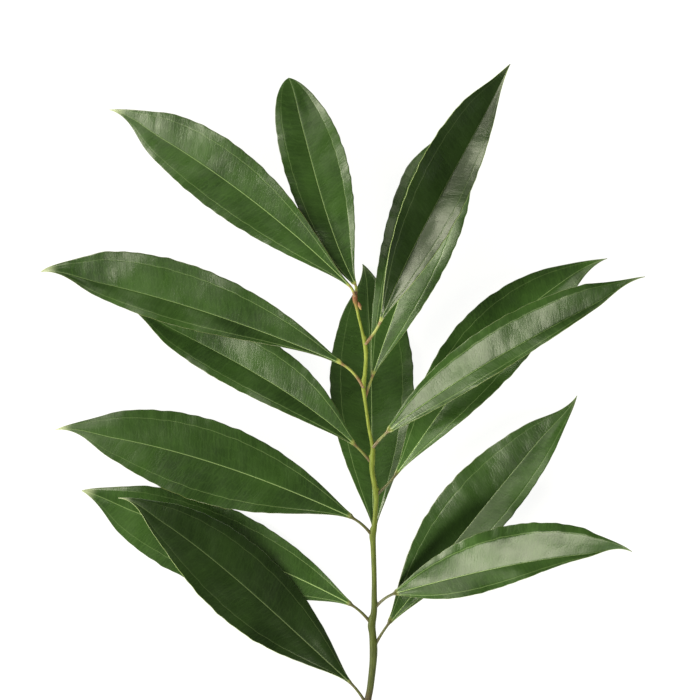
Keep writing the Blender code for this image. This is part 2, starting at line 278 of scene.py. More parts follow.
# %% The fourteen leaves
# stalk: where it leaves the stem. midrib: four points along it, at its base, thirds and tip.
# left, right: each half's greatest width seen from above, where along the midrib that is, how pointed
# the half is, how steeply it rises from the midrib at the base and at the tip, in degrees, and how far
# its edge turns up beyond the side vein. Down is negative.
# tail: the share of the width that is missing near the tip, and how far the tail swings to the right.
LEAVES = {
    "leaf_01": dict(
        stalk=(-1.88, 8.1, 3.0),
        midrib=((-7.0, 17.3, 4.4), (-37.8, 45.9, 10.6), (-72.9, 76.1, 15.5), (-106.0, 96.6, 12.4)),
        left=(16.2, 0.47, 3.3, 16, 13, 3),
        right=(16.4, 0.50, 2.4, -14, -14, -18),
        tail=(0.45, 1.0),
    ),
    "leaf_02": dict(
        stalk=(5.8, 33.3, 5.6),
        midrib=((10.4, 43.4, 5.8), (37.1, 75.9, 1.7), (63.5, 108.2, 1.6), (90.7, 140.4, 1.3)),
        left=(18.2, 0.46, 2.3, 28, 29, 6),
        right=(11.7, 0.54, 2.0, 30, 9, 2),
        tail=(0.4, 0.8),
    ),
    "leaf_03": dict(
        stalk=(0.0, 43.6, 6.5),
        midrib=((-7.0, 51.0, 6.2), (-45.0, 69.0, 2.5), (-84.0, 84.5, 0.3), (-122.3, 99.5, 1.3)),
        left=(18.7, 0.53, 2.3, -3, -4, -7),
        right=(16.4, 0.54, 1.8, -4, 3, 14),
        tail=(0.35, 0.6),
    ),
    "leaf_04": dict(
        stalk=(5.85, 50.25, 7.5),
        midrib=((12.8, 55.8, 9.0), (46.5, 64.6, 14.1), (80.5, 71.0, 14.0), (114.0, 73.5, 8.4)),
        left=(17.1, 0.50, 1.9, 14, 36, -30),
        right=(9.0, 0.32, 3.3, 21, 24, -13),
        tail=(0.6, -1.5),
    ),
    "leaf_05": dict(
        stalk=(0.8, 81.5, 10.2),
        midrib=((-6.6, 88.4, 11.2), (-49.0, 106.0, 13.7), (-91.0, 118.8, 14.8), (-133.1, 125.8, 9.6)),
        left=(17.7, 0.48, 2.8, 10, 11, -2),
        right=(17.5, 0.51, 1.9, -9, -5, -2),
        tail=(0.5, 1.0),
    ),
    "leaf_06": dict(
        stalk=(3.2, 78.6, 7.5),
        midrib=((3.4, 83.4, 7.5), (2.4, 121.5, 3.0), (1.9, 160.0, -1.1), (-1.5, 196.9, 1.6)),
        left=(17.8, 0.54, 2.4, 7, 6, -4),
        right=(18.2, 0.56, 1.9, 4, 2, 15),
        tail=(0.4, 0.6),
    ),
    "leaf_07": dict(
        stalk=(6.25, 99.1, 11.4),
        midrib=((13.1, 107.1, 11.2), (38.6, 143.0, 6.9), (67.0, 175.6, 0.3), (103.6, 199.3, 1.8)),
        left=(16.6, 0.49, 2.3, 10, 12, -8),
        right=(14.9, 0.52, 2.6, 26, 24, 0),
        tail=(0.3, -0.6),
    ),
    "leaf_08": dict(
        stalk=(0.45, 112.6, 12.3),
        midrib=((-5.6, 120.1, 12.4), (-36.0, 143.0, 8.9), (-68.0, 161.2, 1.7), (-101.0, 178.4, 0.6)),
        left=(10.2, 0.54, 1.8, 24, 28, -15),
        right=(15.2, 0.46, 2.3, 17, 21, -13),
        tail=(0.3, 0.4),
    ),
    "leaf_09": dict(
        stalk=(4.3, 119.35, 13.2),
        midrib=((9.9, 125.6, 14.6), (45.0, 150.3, 17.7), (82.0, 171.3, 16.1), (119.5, 191.4, 10.9)),
        left=(13.8, 0.51, 1.7, 18, 35, -28),
        right=(6.0, 0.36, 2.3, 28, 35, -2),
        tail=(0.75, -1.2),
    ),
    "leaf_10": dict(
        stalk=(1.1, 140.6, 13.5),
        midrib=((3.1, 150.1, 13.2), (14.9, 184.0, 8.6), (26.9, 219.0, 3.5), (37.8, 252.5, 0.8)),
        left=(16.2, 0.68, 1.3, 4, -1, -13),
        right=(15.7, 0.64, 1.7, 20, 25, 1),
        tail=(0.3, 0.0),
    ),
    "leaf_11": dict(
        stalk=(-3.05, 145.1, 15.2),
        midrib=((-11.6, 154.6, 15.8), (-54.0, 171.2, 15.9), (-97.0, 184.6, 13.5), (-139.3, 193.5, 11.3)),
        left=(9.5, 0.56, 3.2, 24, 18, -16),
        right=(17.5, 0.56, 1.7, 8, 22, 4),
        tail=(0.5, 1.1),
    ),
    "leaf_12": dict(
        stalk=(1.2, 163.6, 16.3),
        midrib=((6.4, 172.9, 17.4), (23.4, 210.1, 20.7), (42.7, 246.2, 15.2), (61.7, 282.5, 12.7)),
        left=(14.4, 0.56, 2.0, 41, 30, -1),
        right=(11.0, 0.44, 2.6, 23, 30, 2),
        tail=(0.35, 0.0),
    ),
    "leaf_13": dict(
        stalk=(-5.5, 184.8, 17.9),
        midrib=((-7.4, 187.8, 18.6), (-37.8, 215.3, 20.5), (-72.7, 241.2, 18.7), (-109.9, 262.9, 11.6)),
        left=(13.7, 0.53, 2.3, -6, -6, -7),
        right=(14.8, 0.60, 2.4, 37, 23, -4),
        tail=(0.55, 1.2),
    ),
    "leaf_14": dict(
        stalk=(-4.3, 185.1, 16.6),
        midrib=((-4.9, 188.6, 16.2), (-16.2, 216.0, 18.9), (-24.9, 246.3, 18.6), (-33.2, 276.6, 10.5)),
        left=(12.2, 0.62, 1.35, 15, 8, -13),
        right=(14.9, 0.58, 1.9, 15, -3, 18),
        tail=(0.0, 0.4),
    ),
}
print(len(LEAVES), "leaves")

# %% [markdown]
# ## The leaf's middle line and outline
#
# The middle line is the spine of the surface: the stalk, then the midrib. A cubic passes through the four
# midrib points, and the stalk is a bent line that runs into it in the same direction, so the leaf has no
# kink at its base. The outline of each half is a hump with a power at either end, so one number
# says how pointed it is.

# %% Line and outline
STALK_STEPS = 16
BLADE_STEPS = 150
STALK_BEND = 0.45
STALK_DROP = 1.3
STALK_RISE = 0.6
HEADING_AT = 0.03
TAIL_FROM = 0.8
SWING_PEAK = 27 / 4
BASE_CUT = 0.018
BASE_FADE = 0.03


def cubic_through(points, t):
    """The cubic that passes through four points at t = 0, 1/3, 2/3 and 1 (Lagrange's form)."""
    places = (0.0, 1 / 3, 2 / 3, 1.0)
    total = 0.0
    for i, point in enumerate(points):
        weight = np.ones_like(t)
        for j, place in enumerate(places):
            if j != i:
                weight = weight * (t - place) / (places[i] - place)
        total = total + weight[:, None] * np.asarray(point)
    return total


def stem_inside(point):
    """The point inside the stem that a stalk grows from: a little lower along the stem's line, and
    part of the way from the line's height to the stalk's own."""
    line = np.asarray(STEM)
    y = min(point[1] - STALK_DROP, STEM_LENGTH - STALK_DROP)
    x = np.interp(y, line[:, 1], line[:, 0])
    return np.array((x, y, (1 - STALK_RISE) * stem_height(y) + STALK_RISE * point[2]))


def leaf_line(leaf):
    """The leaf's middle line, t along the blade (0 on the stalk) and u along the stalk (1 on the blade).
    The stalk is the curve (1-u)^2 start + 2u(1-u) bend + u^2 base, and starts inside the stem. The
    blade's points lie closer together towards its base and its tip."""
    even = np.linspace(0, 1, BLADE_STEPS + 1)
    t = 0.5 * (even + (1 - np.cos(math.pi * even)) / 2)
    midrib = cubic_through(leaf["midrib"], t)
    midrib = midrib + frames_along(midrib)[0] * tail_swing(t, leaf["tail"][1])[:, None]
    start, base = stem_inside(leaf["stalk"]), midrib[0]
    heading = unit(cubic_through(leaf["midrib"], np.array([HEADING_AT]))[0] - base)
    bend = base - heading * STALK_BEND * np.linalg.norm(base - start)
    u = np.arange(STALK_STEPS) / STALK_STEPS
    v = u[:, None]
    stalk = (1 - v) ** 2 * start + 2 * v * (1 - v) * bend + v**2 * base
    return np.vstack([stalk, midrib]), np.append(np.zeros(STALK_STEPS), t), np.append(u, np.ones(len(t)))


def half_width(t, widest, place, pointed, tail_depth):
    """Half a blade's width at t: (b/p)^(pk) ((1-t)/(1-p))^((1-p)k), which is 1 at t = p, with b as
    t + c exp(-t/f), where c is the cut at the base and f how far it counts. It is drawn in towards
    the tip by the tail's depth times a smooth step along the tail."""
    t = np.clip(t, 0.0, 1 - 1e-4)
    drawn_in = tail_depth * smooth_step((t - TAIL_FROM) / (1 - TAIL_FROM))
    rise = ((t + BASE_CUT * np.exp(-t / BASE_FADE)) / place) ** (place * pointed)
    full = widest * rise * ((1 - t) / (1 - place)) ** ((1 - place) * pointed)
    return full * (1 - drawn_in)


def tail_swing(t, swing):
    """How far the midrib bends to the right in the tail: swing 27/4 x^2 (1-x), at most swing."""
    x = np.clip((t - TAIL_FROM) / (1 - TAIL_FROM), 0.0, 1.0)
    return swing * SWING_PEAK * x * x * (1 - x)


steps = np.diff(leaf_line(LEAVES["leaf_05"])[0], axis=0)
print("leaf_05 is", round(float(np.linalg.norm(steps, axis=1).sum())), "mm long with its stalk")

# %% [markdown]
# ## Across the blade
#
# s runs from -1 at the left margin, over 0 at the midrib, to 1 at the right margin. A height is worked
# out for each s: the slope of the half, the turn beyond the side vein, the wave of the margin, and broad
# swells that no real leaf lacks. Those swells are what breaks a reflection into soft patches.
# The points lie closer together near the veins and the margins, where the surface bends most.

# %% The columns of points across a blade
SIDE_VEIN = 0.74
VEIN_GAPS = np.array((-0.07, -0.04, -0.022, -0.01, 0.0, 0.01, 0.022, 0.04, 0.07))
EDGE_GAPS = np.array((0.0, 0.004, 0.011, 0.022, 0.045))
EVEN_COLUMNS = np.linspace(-0.92, 0.92, 35)
LEAST_GAP = 0.02


def columns():
    """Places s across a blade, crowded at the midrib, the side veins and the margins."""
    close = np.concatenate([VEIN_GAPS, VEIN_GAPS + SIDE_VEIN, VEIN_GAPS - SIDE_VEIN])
    far = EVEN_COLUMNS[np.abs(EVEN_COLUMNS[:, None] - close[None, :]).min(1) > LEAST_GAP]
    return np.unique(np.round(np.concatenate([far, close, 1 - EDGE_GAPS, EDGE_GAPS - 1]), 4))


ACROSS = columns()
print(len(ACROSS), "columns across a blade")

# %% The height of the blade over its midrib
# Heights, lengths and widths are in millimetres, and waves are counted along the blade
WAVE_HEIGHT = 0.7
WAVES = 3.5
WAVE_SHIFT = 1.9
FINE_WAVE_HEIGHT = 0.08
FINE_WAVES = (9.3, 14.1, 21.7)
MARGIN_UNEVENNESS = 0.006
FIRST_SEED = 100
SWELL_COUNT = 5
SWELL_HEIGHT = 0.32
SWELL_LENGTH = 26.0
SWELL_STRETCH = (0.7, 1.5)
SWELL_FULL_AT = 5 / 11
SWELL_FULL_WIDTH = 6.0
FOLD_SOFTNESS = 0.035
OPEN_FROM = 0.75


def swells(draw, along, across):
    """Broad low waves over the blade: twice the mean of a few sines, each with a drawn direction, length
    and start. along and across are in millimetres."""
    total = 0.0
    for _ in range(SWELL_COUNT):
        turn = draw.uniform(0, math.pi)
        stretch = draw.uniform(*SWELL_STRETCH)
        start = draw.uniform(0, 2 * math.pi)
        pace = 2 * math.pi / (SWELL_LENGTH * stretch)
        total = total + np.sin(pace * (along * math.cos(turn) + across * math.sin(turn)) + start)
    return SWELL_HEIGHT * total / (SWELL_COUNT / 2)


def soft_fold(x):
    """0 below 0 and x above it, with the corner rounded: (x + sqrt(x^2 + c^2)) / 2."""
    return 0.5 * (x + np.sqrt(x * x + FOLD_SOFTNESS**2))


def blade_form(leaf, number, t, u, along, centre_radius):
    """Width at each s, and the height over the midrib, both in millimetres. Each half's height is its
    width times (tan(rise) |s| + tan(turn) fold(|s| - side vein)), plus the waves, which grow with s^2
    and the fine ones with |s|^5, and the swells, which start a little away from the midrib."""
    s = ACROSS[None, :]
    draw = np.random.default_rng(FIRST_SEED + number)
    width, rise = np.zeros((len(t), len(ACROSS))), np.zeros((len(t), len(ACROSS)))
    opening = np.clip((u - OPEN_FROM) / (1 - OPEN_FROM), 0.0, 1.0) ** 2
    for side, sign in (("left", -1), ("right", 1)):
        widest, place, pointed, base_rise, tip_rise, edge_turn = leaf[side]
        reach = half_width(t, widest, place, pointed, leaf["tail"][0]) * opening
        phase = WAVE_SHIFT * number + sign
        share = np.sqrt(reach / widest)
        wave = WAVE_HEIGHT * np.sin(2 * math.pi * WAVES * t + phase) * share
        fine = sum(np.sin(2 * math.pi * (pace * t + draw.uniform(0, 1))) for pace in FINE_WAVES)
        slope = np.tan(np.radians(base_rise + (tip_rise - base_rise) * t))[:, None] * np.abs(s)
        edge = math.tan(math.radians(edge_turn)) * soft_fold(np.abs(s) - SIDE_VEIN)
        height = reach[:, None] * (slope + edge) + wave[:, None] * s**2
        height = height + FINE_WAVE_HEIGHT * (fine * share)[:, None] * np.abs(s) ** 5
        uneven = 1 + MARGIN_UNEVENNESS * fine * np.abs(np.sin(math.pi * t))
        mine = (s * sign > 0)[0]
        width[:, mine] = np.hypot(reach * uneven, centre_radius)[:, None]
        rise[:, mine] = height[:, mine]
    middle = len(ACROSS) // 2
    width[:, middle] = np.maximum(width[:, 0], width[:, -1])
    shown = smooth_step(np.abs(s) / SWELL_FULL_AT) * smooth_step(width / SWELL_FULL_WIDTH)
    return width, rise + swells(draw, along[:, None], s * width) * shown


print("the side veins run at", SIDE_VEIN, "of the way out")

# %% [markdown]
# ## Thickness and veins
#
# A real blade is about 0.4 mm thick with a rounded margin. On its upper face the three main veins lie in
# fine grooves. On its lower face they stand out, the midrib most of all, because it is the stalk
# carrying on through the leaf. Both are so clear from close by that they are part of the mesh, and not
# only of the material.

# %% Upper and lower face
# All in millimetres but the fan, in degrees. A groove or ridge has its depth and how far it reaches
BLADE_THICKNESS = 0.42
ROUND_EDGE = 0.30
STALK_RADIUS = 0.58
STALK_FOOT_RADIUS = 0.80
TIP_RADIUS = 0.16
THINNER_FROM = 0.3
MIDRIB_GROOVE = (0.13, 0.30)
SIDE_GROOVE = (0.07, 0.24)
MIDRIB_RIDGE = (0.42, 0.50)
SIDE_RIDGE = (0.14, 0.32)
RELIEF_FADE = 0.35
ROUND_FAN = 90.0
BLADE_FROM = 3.0
TABLE_SOFTNESS = 1.0


def vein_relief(distance_mid, distance_side, midrib, side, t):
    """Two bell curves, depth exp(-(d / reach)^2), that fade out towards the tip by a power of 1 - t."""
    fade = (1 - t[:, None]) ** RELIEF_FADE
    total = midrib[0] * np.exp(-((distance_mid / midrib[1]) ** 2))
    return fade * (total + side[0] * np.exp(-((distance_side / side[1]) ** 2)))


def over_table(points):
    """Moves a piece to its place, and lifts what would sink into the table: z becomes
    (z + sqrt(z^2 + c^2)) / 2, by the lower of a point and its partner on the other face."""
    moved = points - BRANCH_MIDDLE
    around = points.shape[1]
    partner = (around - np.arange(around)) % around
    lowest = np.minimum(moved[..., 2], moved[:, partner, 2])
    moved[..., 2] += 0.5 * (np.sqrt(lowest**2 + TABLE_SOFTNESS**2) - lowest)
    return moved * MM


def middle_radius(t, u):
    """The radius of the stalk, thicker at its foot, which runs on as the midrib and thins to the tip."""
    stalk = STALK_RADIUS + (STALK_FOOT_RADIUS - STALK_RADIUS) * (1 - u) ** 3
    thinner = (t - THINNER_FROM) / (1 - THINNER_FROM)
    return np.where(thinner > 0, STALK_RADIUS + (TIP_RADIUS - STALK_RADIUS) * thinner, stalk)


def leaf_rings(leaf, number):
    """The leaf as rings: the upper face from left margin to right, then the lower face back again. A
    ring is round on the stalk and turns into the section of the blade as that grows wider. Also gives
    each point's place on the leaf, for the material, and each ring's distance along it."""
    line, t, u = leaf_line(leaf)
    step = np.linalg.norm(np.diff(line, axis=0), axis=1)
    along = np.append(0.0, np.cumsum(step))
    along = along - along[STALK_STEPS]
    right, up = frames_along(line)
    centre_radius = middle_radius(t, u)
    width, rise = blade_form(leaf, number, t, u, along, centre_radius)
    s = ACROSS[None, :]
    x, y = s * width, rise

    tilt_x, tilt_y = np.gradient(x, ACROSS, axis=1), np.gradient(y, ACROSS, axis=1)
    length = np.hypot(tilt_x, tilt_y)
    normal_x, normal_y = -tilt_y / length, tilt_x / length
    inside = np.clip(1 - (1 - np.abs(s)) * width / ROUND_EDGE, 0.0, 1.0)
    half = BLADE_THICKNESS / 2 * np.sqrt(np.clip(1 - inside**2, 0.0, 1.0))
    distance_mid = np.abs(x)
    distance_side = np.abs(np.abs(s) - SIDE_VEIN) * width
    groove = vein_relief(distance_mid, distance_side, MIDRIB_GROOVE, SIDE_GROOVE, t)
    ridge = vein_relief(distance_mid, distance_side, MIDRIB_RIDGE, SIDE_RIDGE, t)

    turn = np.radians(ROUND_FAN) * s
    round_x = np.sin(turn) * width
    round_y = np.cos(turn) * centre_radius[:, None]
    blade = smooth_step((np.abs(width).max(axis=1) / centre_radius - 1) / BLADE_FROM)[:, None]
    blade = np.where((t > 0)[:, None], blade, 0.0)

    def face(sign, relief):
        across = blade * (x + sign * normal_x * (half + relief)) + (1 - blade) * round_x
        height = blade * (y + sign * normal_y * (half + relief)) + (1 - blade) * sign * round_y
        return line[:, None] + across[..., None] * right[:, None] + height[..., None] * up[:, None]

    closed = np.minimum(1.0, (1 - np.abs(s)) * width / ROUND_EDGE)
    upper, lower = face(1, -groove * closed), face(-1, ridge * closed)
    rings = np.concatenate([upper, lower[:, -2:0:-1]], axis=1)
    place_s = np.concatenate([ACROSS, ACROSS[-2:0:-1]])[None, :]
    place_width = np.concatenate([width, width[:, -2:0:-1]], axis=1)
    signed_t = np.where(u < 1, u - 1, t)[:, None]
    return rings, np.broadcast_arrays(signed_t, place_s, place_width), along[:, None]


print("a leaf has %d rings of %d points" % leaf_rings(LEAVES["leaf_05"], 5)[0].shape[:2])

# %% [markdown]
# ## The skin of a leaf
#
# The upper face wears a thick cuticle, a wax film that shines like satin. Fine cross veins, about a
# millimetre apart, run from the midrib out to the side vein like the rungs of a ladder. They show as
# paler threads in the uneven green, and they break the shine up into soft patches. The main veins are
# yellow-green. The thin margin is brownish, and on some leaves a pale line along it is a painted
# highlight where the edge catches the light. Some tips are pale. The lower face has no such film: it is
# paler and matt.
#
# Each point of the mesh knows where on the leaf it is: how far along, how far out and how wide the
# blade is there. The material measures its distance to each vein from that, so the lines follow
# the leaf however it bends.

# %% Where a point is on its leaf
MATH = "ShaderNodeMath"
NET_SLANT = 0.35
NET_WOBBLE = 1.6
WOBBLES_PER_DECIMETRE = 45.0


def leaf_places(tree):
    """A point's place on its leaf, as sockets. t runs from -1 at the stalk's foot, over 0 at the blade's
    base, to 1 at its tip. The others are in millimetres: the distances from the midrib, the side vein
    and the margin, the first of them again with its sign, and how far along the leaf the cross vein
    through the point starts. Cross veins slant towards the tip and wobble a little."""
    stored = add(tree, "ShaderNodeAttribute", attribute_name="place").outputs["Vector"]
    t, s, width = add(tree, "ShaderNodeSeparateXYZ", {"Vector": stored}).outputs
    out = add(tree, MATH, {0: s}, operation="ABSOLUTE").outputs[0]
    midrib = add(tree, MATH, {0: out, 1: width}, operation="MULTIPLY").outputs[0]
    past_vein = add(tree, MATH, {0: out, 1: SIDE_VEIN}, operation="SUBTRACT").outputs[0]
    from_vein = add(tree, MATH, {0: past_vein}, operation="ABSOLUTE").outputs[0]
    flat = add(tree, "ShaderNodeUVMap", uv_map="flat").outputs["UV"]
    u = add(tree, "ShaderNodeSeparateXYZ", {"Vector": flat}).outputs["X"]
    along = add(tree, MATH, {0: u, 1: DECIMETRE}, operation="MULTIPLY").outputs[0]
    slanted = add(tree, MATH, {0: midrib, 1: -NET_SLANT, 2: along}, operation="MULTIPLY_ADD").outputs[0]
    wobble = add(tree, "ShaderNodeTexNoise", {"Vector": flat, "Scale": WOBBLES_PER_DECIMETRE, "Detail": 2.0})
    wobbly = {0: wobble.outputs["Fac"], 1: NET_WOBBLE, 2: slanted}
    return dict(
        t=t,
        midrib=midrib,
        side_vein=add(tree, MATH, {0: from_vein, 1: width}, operation="MULTIPLY").outputs[0],
        margin=add(tree, MATH, {0: width, 1: midrib}, operation="SUBTRACT").outputs[0],
        across=add(tree, MATH, {0: s, 1: width}, operation="MULTIPLY").outputs[0],
        cross_vein=add(tree, MATH, wobbly, operation="MULTIPLY_ADD").outputs[0],
    )


print("cross veins lean by", round(math.degrees(math.atan(NET_SLANT))), "degrees towards the tip")

# %% Lines, a net and rungs. Lengths are in millimetres
LINE_CORE = 0.25
LINE_REACH = 0.95
VEIN_WIDTH = 0.27
SIDE_VEIN_WIDTH = 0.19
MARGIN_WIDTH = 0.18
NET_SIZE = (1.25, 4.2)
NET_LINE = 0.16
RUNG_SIZE = (0.95, 8.0)
PATCH_SIZE = (7.0, 11.0)


def line_at(tree, distance, width):
    """1 on a line and 0 away from it, with a soft edge."""
    ends = {"Value": distance, "From Min": width * LINE_REACH, "From Max": width * LINE_CORE}
    return add(tree, "ShaderNodeMapRange", ends, interpolation_type="SMOOTHSTEP").outputs["Result"]


def in_cells(tree, place, size):
    """The place counted in cells of this size, along the leaf and across it."""
    x = add(tree, MATH, {0: place["cross_vein"], 1: size[0]}, operation="DIVIDE").outputs[0]
    y = add(tree, MATH, {0: place["across"], 1: size[1]}, operation="DIVIDE").outputs[0]
    return add(tree, "ShaderNodeCombineXYZ", {"X": x, "Y": y}).outputs["Vector"]


def net_of_veins(tree, place):
    """1 on the borders of long cells, drawn out from the midrib, and 0 inside them."""
    inputs = {"Vector": in_cells(tree, place, NET_SIZE), "Scale": 1.0, "Randomness": 0.75}
    kind = dict(feature="DISTANCE_TO_EDGE", voronoi_dimensions="2D")
    cells = add(tree, "ShaderNodeTexVoronoi", inputs, **kind)
    return line_at(tree, cells.outputs["Distance"], NET_LINE)


def ladder(tree, place, size):
    """Soft noise drawn out from the midrib to the side vein, so that it lies like rungs."""
    inputs = {"Vector": in_cells(tree, place, size), "Scale": 1.0, "Detail": 1.0}
    return add(tree, "ShaderNodeTexNoise", inputs).outputs["Fac"]


print("the midrib is drawn", VEIN_WIDTH, "mm wide")

# %% The colours of a blade and of its stalk
BLOTCHES_PER_METRE = 45.0
BLOTCH_RANGE = (0.32, 0.68)
RUNG_RANGE = (0.42, 0.72)
VEINS_FULL_TO = 0.15
VEINS_AT_TIP = 0.25
TIP_FROM, TIP_TO = 0.94, 0.995
BASE_TO = 0.016
STALK_FROM, STALK_TO = 0.05, 0.012
# Where along the branch, in metres, the stalks begin to darken and where they are darkest
LOW_STALKS = (0.01, -0.04)
STALK_BANDS = (
    (0.0, "joint"),
    (0.26, "joint"),
    (0.42, "stalk"),
    (0.66, "stalk"),
    (0.84, "joint"),
    (0.94, "stalk"),
)
# How strongly each colour covers the green under it
COVER = dict(rungs=0.27, net=0.16, side_vein=0.32, midrib=0.78, margin=0.6, tip=0.8, base=0.6, low_stalk=0.9)


def ranged(value, low, high):
    """The inputs of a Map Range node that turns low to high into 0 to 1."""
    return {"Value": value, "From Min": low, "From Max": high}


def blade_colour(tree, place, spot, net, rungs, colours, vein_strength):
    """The green with its threads, its veins, its margin and its tip. The leaf's look says how light its green
    is, partly painted shade and light, how pale its tip ends, and how pale its margin is, partly a painted
    highlight."""
    stored = add(tree, "ShaderNodeAttribute", attribute_name="look").outputs["Vector"]
    tone_with_painted_shade_and_light, pale_tip, margin_paleness_with_highlight = add(tree, "ShaderNodeSeparateXYZ", {"Vector": stored}).outputs
    noise = {"Vector": spot, "Scale": BLOTCHES_PER_METRE, "Detail": 3.0, "Roughness": 0.55}
    broad = add(tree, "ShaderNodeTexNoise", noise).outputs["Fac"]
    blotch = add(tree, "ShaderNodeMapRange", ranged(broad, *BLOTCH_RANGE)).outputs["Result"]
    colour = paint(tree, linear(colours["deep"]), linear(colours["fresh"]), blotch)
    threads = add(tree, "ShaderNodeMapRange", ranged(rungs, *RUNG_RANGE)).outputs["Result"]
    colour = paint(tree, colour, linear(colours["net"]), threads, COVER["rungs"])
    colour = paint(tree, colour, linear(colours["net"]), net, COVER["net"])
    fading = {**ranged(place["t"], 1.0, VEINS_FULL_TO), "To Min": VEINS_AT_TIP}
    fade = add(tree, "ShaderNodeMapRange", fading).outputs["Result"]
    for vein, width in (("side_vein", SIDE_VEIN_WIDTH), ("midrib", VEIN_WIDTH)):
        on_line = line_at(tree, place[vein], width)
        colour = paint(tree, colour, linear(colours["vein"]), on_line, fade, COVER[vein] * vein_strength)
    # The leaf's first number scales its green: partly its own tone, partly painted shade and painted light.
    shaded = add(tree, "ShaderNodeVectorMath", {0: colour, "Scale": tone_with_painted_shade_and_light}, operation="SCALE")
    # The margin turns pale by the leaf's third number; on leaf_01 and leaf_12 that pale line is a painted
    # highlight where the edge catches the light.
    rim = paint(tree, linear(colours["rim"]), linear(colours["margin"]), margin_paleness_with_highlight)
    on_rim = line_at(tree, place["margin"], MARGIN_WIDTH)
    colour = paint(tree, shaded.outputs["Vector"], rim, on_rim, COVER["margin"])
    soft = dict(interpolation_type="SMOOTHSTEP")
    tip = add(tree, "ShaderNodeMapRange", ranged(place["t"], TIP_FROM, TIP_TO), **soft).outputs["Result"]
    colour = paint(tree, colour, linear(colours["tip"]), tip, pale_tip, COVER["tip"])
    base = add(tree, "ShaderNodeMapRange", ranged(place["t"], BASE_TO, 0.0), **soft).outputs["Result"]
    return paint(tree, colour, linear(colours["stalk"]), base, COVER["base"])


def stalk_colour(tree, place, spot, colours):
    """Yellow-green with a brown joint at either end, and darker on the stalks near the cut end."""
    bands = [(at, colours[name]) for at, name in STALK_BANDS]
    along = add(tree, "ShaderNodeMapRange", ranged(place["t"], -1.0, STALK_FROM)).outputs["Result"]
    colour = add(tree, "ShaderNodeValToRGB", {"Fac": along}, stops=bands).outputs["Color"]
    y = add(tree, "ShaderNodeSeparateXYZ", {"Vector": spot}).outputs["Y"]
    low = add(tree, "ShaderNodeMapRange", ranged(y, *LOW_STALKS)).outputs["Result"]
    return paint(tree, colour, linear(colours["low_stalk"]), low, COVER["low_stalk"])


print("a blade's colour has", len(COVER), "layers over its green")

# %% Leaf materials
WAX_IOR = 1.5
NET_DEPTH = 0.012
RUNG_HEIGHT = 0.022
PATCH_HEIGHT = 0.36
PATCH_RANGE = (0.3, 0.7)


def leaf_skin(name, colours, roughness, vein_strength):
    """One face of a leaf. colours has deep, fresh, net, vein, margin, rim, tip, stalk, low_stalk and joint
    as hex values. The relief is in millimetres: rungs and swells up, the net down."""
    material, tree, shader = new_material(name)
    spot = add(tree, "ShaderNodeTexCoord").outputs["Object"]
    place = leaf_places(tree)
    net = net_of_veins(tree, place)
    rungs, patches = ladder(tree, place, RUNG_SIZE), ladder(tree, place, PATCH_SIZE)
    blade = blade_colour(tree, place, spot, net, rungs, colours, vein_strength)
    on_stalk = add(tree, "ShaderNodeMapRange", ranged(place["t"], STALK_TO, 0.0)).outputs["Result"]
    colour = paint(tree, blade, stalk_colour(tree, place, spot, colours), on_stalk)
    tree.links.new(colour, shader.inputs["Base Color"])

    shine = {**ranged(patches, *PATCH_RANGE), "To Min": roughness[0], "To Max": roughness[1]}
    rough = add(tree, "ShaderNodeMapRange", shine)
    tree.links.new(rough.outputs["Result"], shader.inputs["Roughness"])
    shader.inputs["IOR"].default_value = WAX_IOR

    height = add(tree, MATH, {0: net, 1: -NET_DEPTH}, operation="MULTIPLY").outputs[0]
    for pattern, depth in ((rungs, RUNG_HEIGHT), (patches, PATCH_HEIGHT)):
        height = add(tree, MATH, {0: pattern, 1: depth, 2: height}, operation="MULTIPLY_ADD").outputs[0]
    bump = add(tree, "ShaderNodeBump", {"Height": height, "Strength": 1.0, "Distance": MM})
    tree.links.new(bump.outputs["Normal"], shader.inputs["Normal"])
    return material


# The wax over dark green gives a satin shine that follows every bend of the blade
UPPER_SKIN = leaf_skin(
    "leaf_cuticle_satin",
    dict(
        deep="#213615",
        fresh="#304b1d",
        net="#3f5c2a",
        vein="#9ab279",
        # The pale margin colour stands partly for a painted highlight where the edge catches the light
        margin="#a6bb76",
        rim="#564c2c",
        tip="#b6bea0",
        stalk="#8f9650",
        low_stalk="#42442a",
        joint="#7d6348",
    ),
    roughness=(0.26, 0.36),
    vein_strength=1.0,
)
# The bare underside scatters the light, so it looks paler and almost without shine
LOWER_SKIN = leaf_skin(
    "leaf_underside_matt",
    dict(
        deep="#56703f",
        fresh="#67834b",
        net="#7d9660",
        vein="#a9bd7c",
        # The pale margin colour stands partly for a painted highlight where the edge catches the light
        margin="#8b9a5e",
        rim="#564c2c",
        tip="#c3c49a",
        stalk="#8f9650",
        low_stalk="#4b4c2c",
        joint="#7d6348",
    ),
    roughness=(0.55, 0.65),
    vein_strength=0.8,
)
print("leaf skins:", UPPER_SKIN.name, "and", LOWER_SKIN.name)

# %% [markdown]
# ## Grow the leaves
#
# Now every leaf is one call. Its faces are numbered, so that the upper ones wear the satin skin and the
# lower ones the matt one, and each new piece takes the place of the plain solid of the same name.
# Leaves of one branch differ in age and health, so each carries three numbers for its look. The first, how
# light its green is, also holds painted shade and painted light: leaf_01 and leaf_12 are darkened as painted
# shade for the halves that turn from the lamps, and leaf_02, leaf_07 and leaf_10 are lightened as painted
# light against the shadows of their neighbours.

# %% Make the fourteen leaves
# Each leaf's patterns start this many millimetres further on, so no two leaves are marked alike
PATTERN_SHIFT = 200.0
